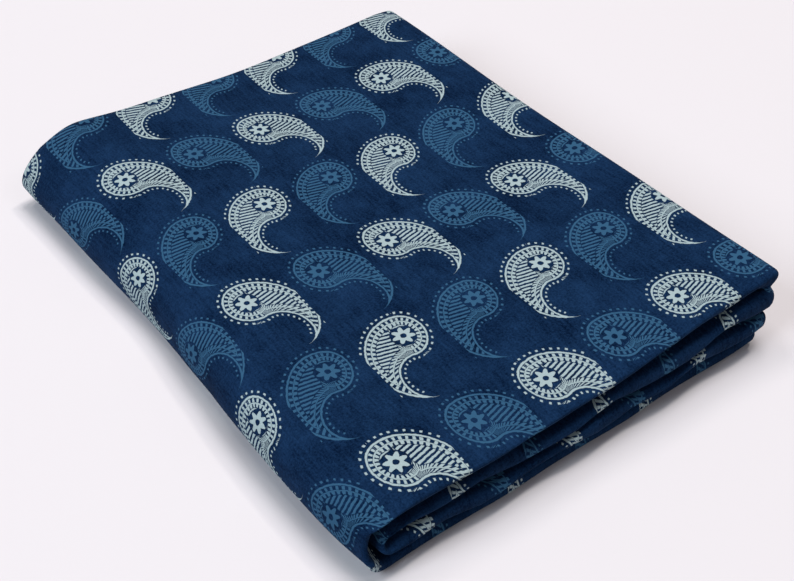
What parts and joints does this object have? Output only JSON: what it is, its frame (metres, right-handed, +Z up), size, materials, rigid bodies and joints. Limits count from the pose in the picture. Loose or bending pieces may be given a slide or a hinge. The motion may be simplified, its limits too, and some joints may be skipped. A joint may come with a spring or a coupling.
{
  "type": "folded cotton fabric",
  "caption": "Length of printed cotton fabric folded back and forth into a flat rectangular pile with rounded edges.",
  "frame": {"origin": "on the resting surface, under the middle of the folded pile", "axes": "+Z up; +Y along the pile's longer side, from the rounded front folds to the open back; +X along the front edge, away from the side that the outermost strip wraps round"},
  "size_m": [0.2812, 0.3618, 0.0488],
  "materials": {
    "cotton": "matt plain-woven cotton, dyed dark blue and block printed"
  },
  "bodies": {
    "root": {"folded_cloth": "cotton"}
  },
  "joints": []
}
